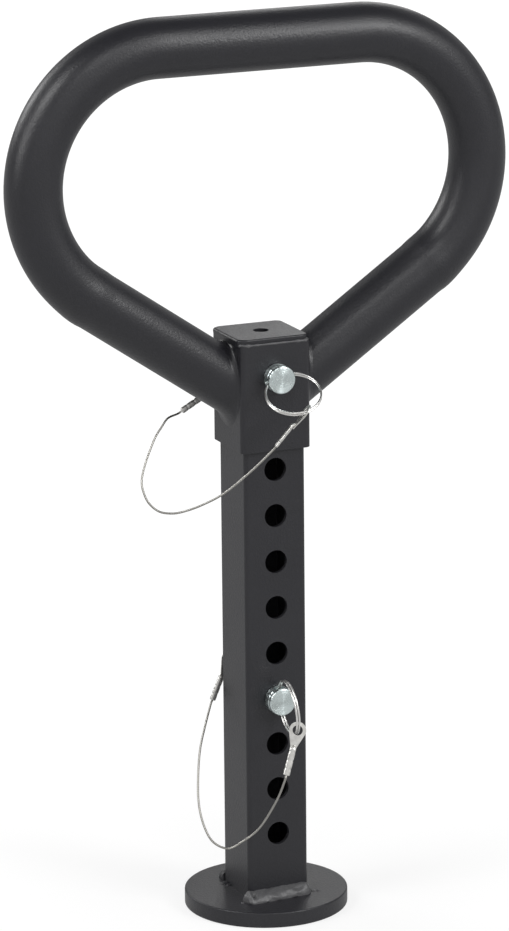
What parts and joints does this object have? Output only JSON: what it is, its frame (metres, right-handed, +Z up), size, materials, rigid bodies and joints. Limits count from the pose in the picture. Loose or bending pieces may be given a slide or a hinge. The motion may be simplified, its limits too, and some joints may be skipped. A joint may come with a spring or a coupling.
{
  "type": "plate-loading kettlebell handle",
  "caption": "Kettlebell handle for weight plates: bent tube grip on a collar, square pinned post on a round base disc, with ringed pull pins on wire lanyards.",
  "frame": {"origin": "centre of the base disc's underside, on the surface the object stands on", "axes": "+Z up along the post, -Y the front where the pin heads and rings are, +X to the viewer's right, the grip loop in the plane y = 0"},
  "size_m": [0.284, 0.0971, 0.4905],
  "materials": {
    "black_coat": "satin black powder coat on steel, faint orange peel",
    "black_weld": "weld bead under the same black powder coat",
    "zinc_pin": "bright zinc plated steel with fine turning marks",
    "ball_steel": "polished hardened steel",
    "nickel_ring": "bright nickel plated spring wire",
    "zinc_hardware": "stamped zinc plated steel",
    "wire_cable": "bare galvanised stranded wire"
  },
  "bodies": {
    "post": {"base_disc": "black_coat", "post_tube": "black_coat", "foot_weld_front": "black_weld", "foot_weld_back": "black_weld", "lower_lanyard_screw": "zinc_hardware", "lower_far_terminal": "zinc_hardware", "lower_cable": "wire_cable"},
    "handle": {"collar_tube": "black_coat", "cap_plate": "black_coat", "grip_tube": "black_coat", "grip_weld_left": "black_weld", "grip_weld_right": "black_weld", "upper_lanyard_screw": "zinc_hardware", "upper_far_terminal": "zinc_hardware", "upper_cable": "wire_cable"},
    "upper_pin": {"upper_pin": "zinc_pin", "upper_ball_spring": "ball_steel", "upper_near_terminal": "zinc_hardware"},
    "upper_ball": {"upper_ball": "ball_steel"},
    "upper_ring": {"upper_ring": "nickel_ring"},
    "lower_pin": {"lower_pin": "zinc_pin", "lower_ball_spring": "ball_steel", "lower_near_terminal": "zinc_hardware"},
    "lower_ball": {"lower_ball": "ball_steel"},
    "lower_ring": {"lower_ring": "nickel_ring"}
  },
  "joints": [
    {"name": "handle_lift", "type": "slide", "parent": "post", "child": "handle", "axis": [0, 0, 1], "range_m": [0, 0.0006]},
    {"name": "upper_pin_pull", "type": "slide", "parent": "handle", "child": "upper_pin", "axis": [0, -1, 0], "range_m": [0, 0.056], "deforming": ["upper_cable"]},
    {"name": "upper_ring_turn", "type": "hinge", "parent": "upper_pin", "child": "upper_ring", "pos_m": [0.00294, -0.03557, 0.29223], "axis": [0.1943, 0.5038, -0.8417], "continuous": true},
    {"name": "upper_ball_press", "type": "slide", "parent": "upper_pin", "child": "upper_ball", "axis": [0, 0, 1], "range_m": [0, 0.0005], "stiffness_N_per_m": 800, "deforming": ["upper_ball_spring"]},
    {"name": "lower_pin_pull", "type": "slide", "parent": "post", "child": "lower_pin", "axis": [0, -1, 0], "range_m": [0, 0.056], "deforming": ["lower_cable"]},
    {"name": "lower_ring_turn", "type": "hinge", "parent": "lower_pin", "child": "lower_ring", "pos_m": [-0.00103, -0.03532, 0.12039], "axis": [0.9916, -0.076, 0.1042], "continuous": true},
    {"name": "lower_ball_press", "type": "slide", "parent": "lower_pin", "child": "lower_ball", "axis": [0, 0, 1], "range_m": [0, 0.0005], "stiffness_N_per_m": 800, "deforming": ["lower_ball_spring"]}
  ]
}
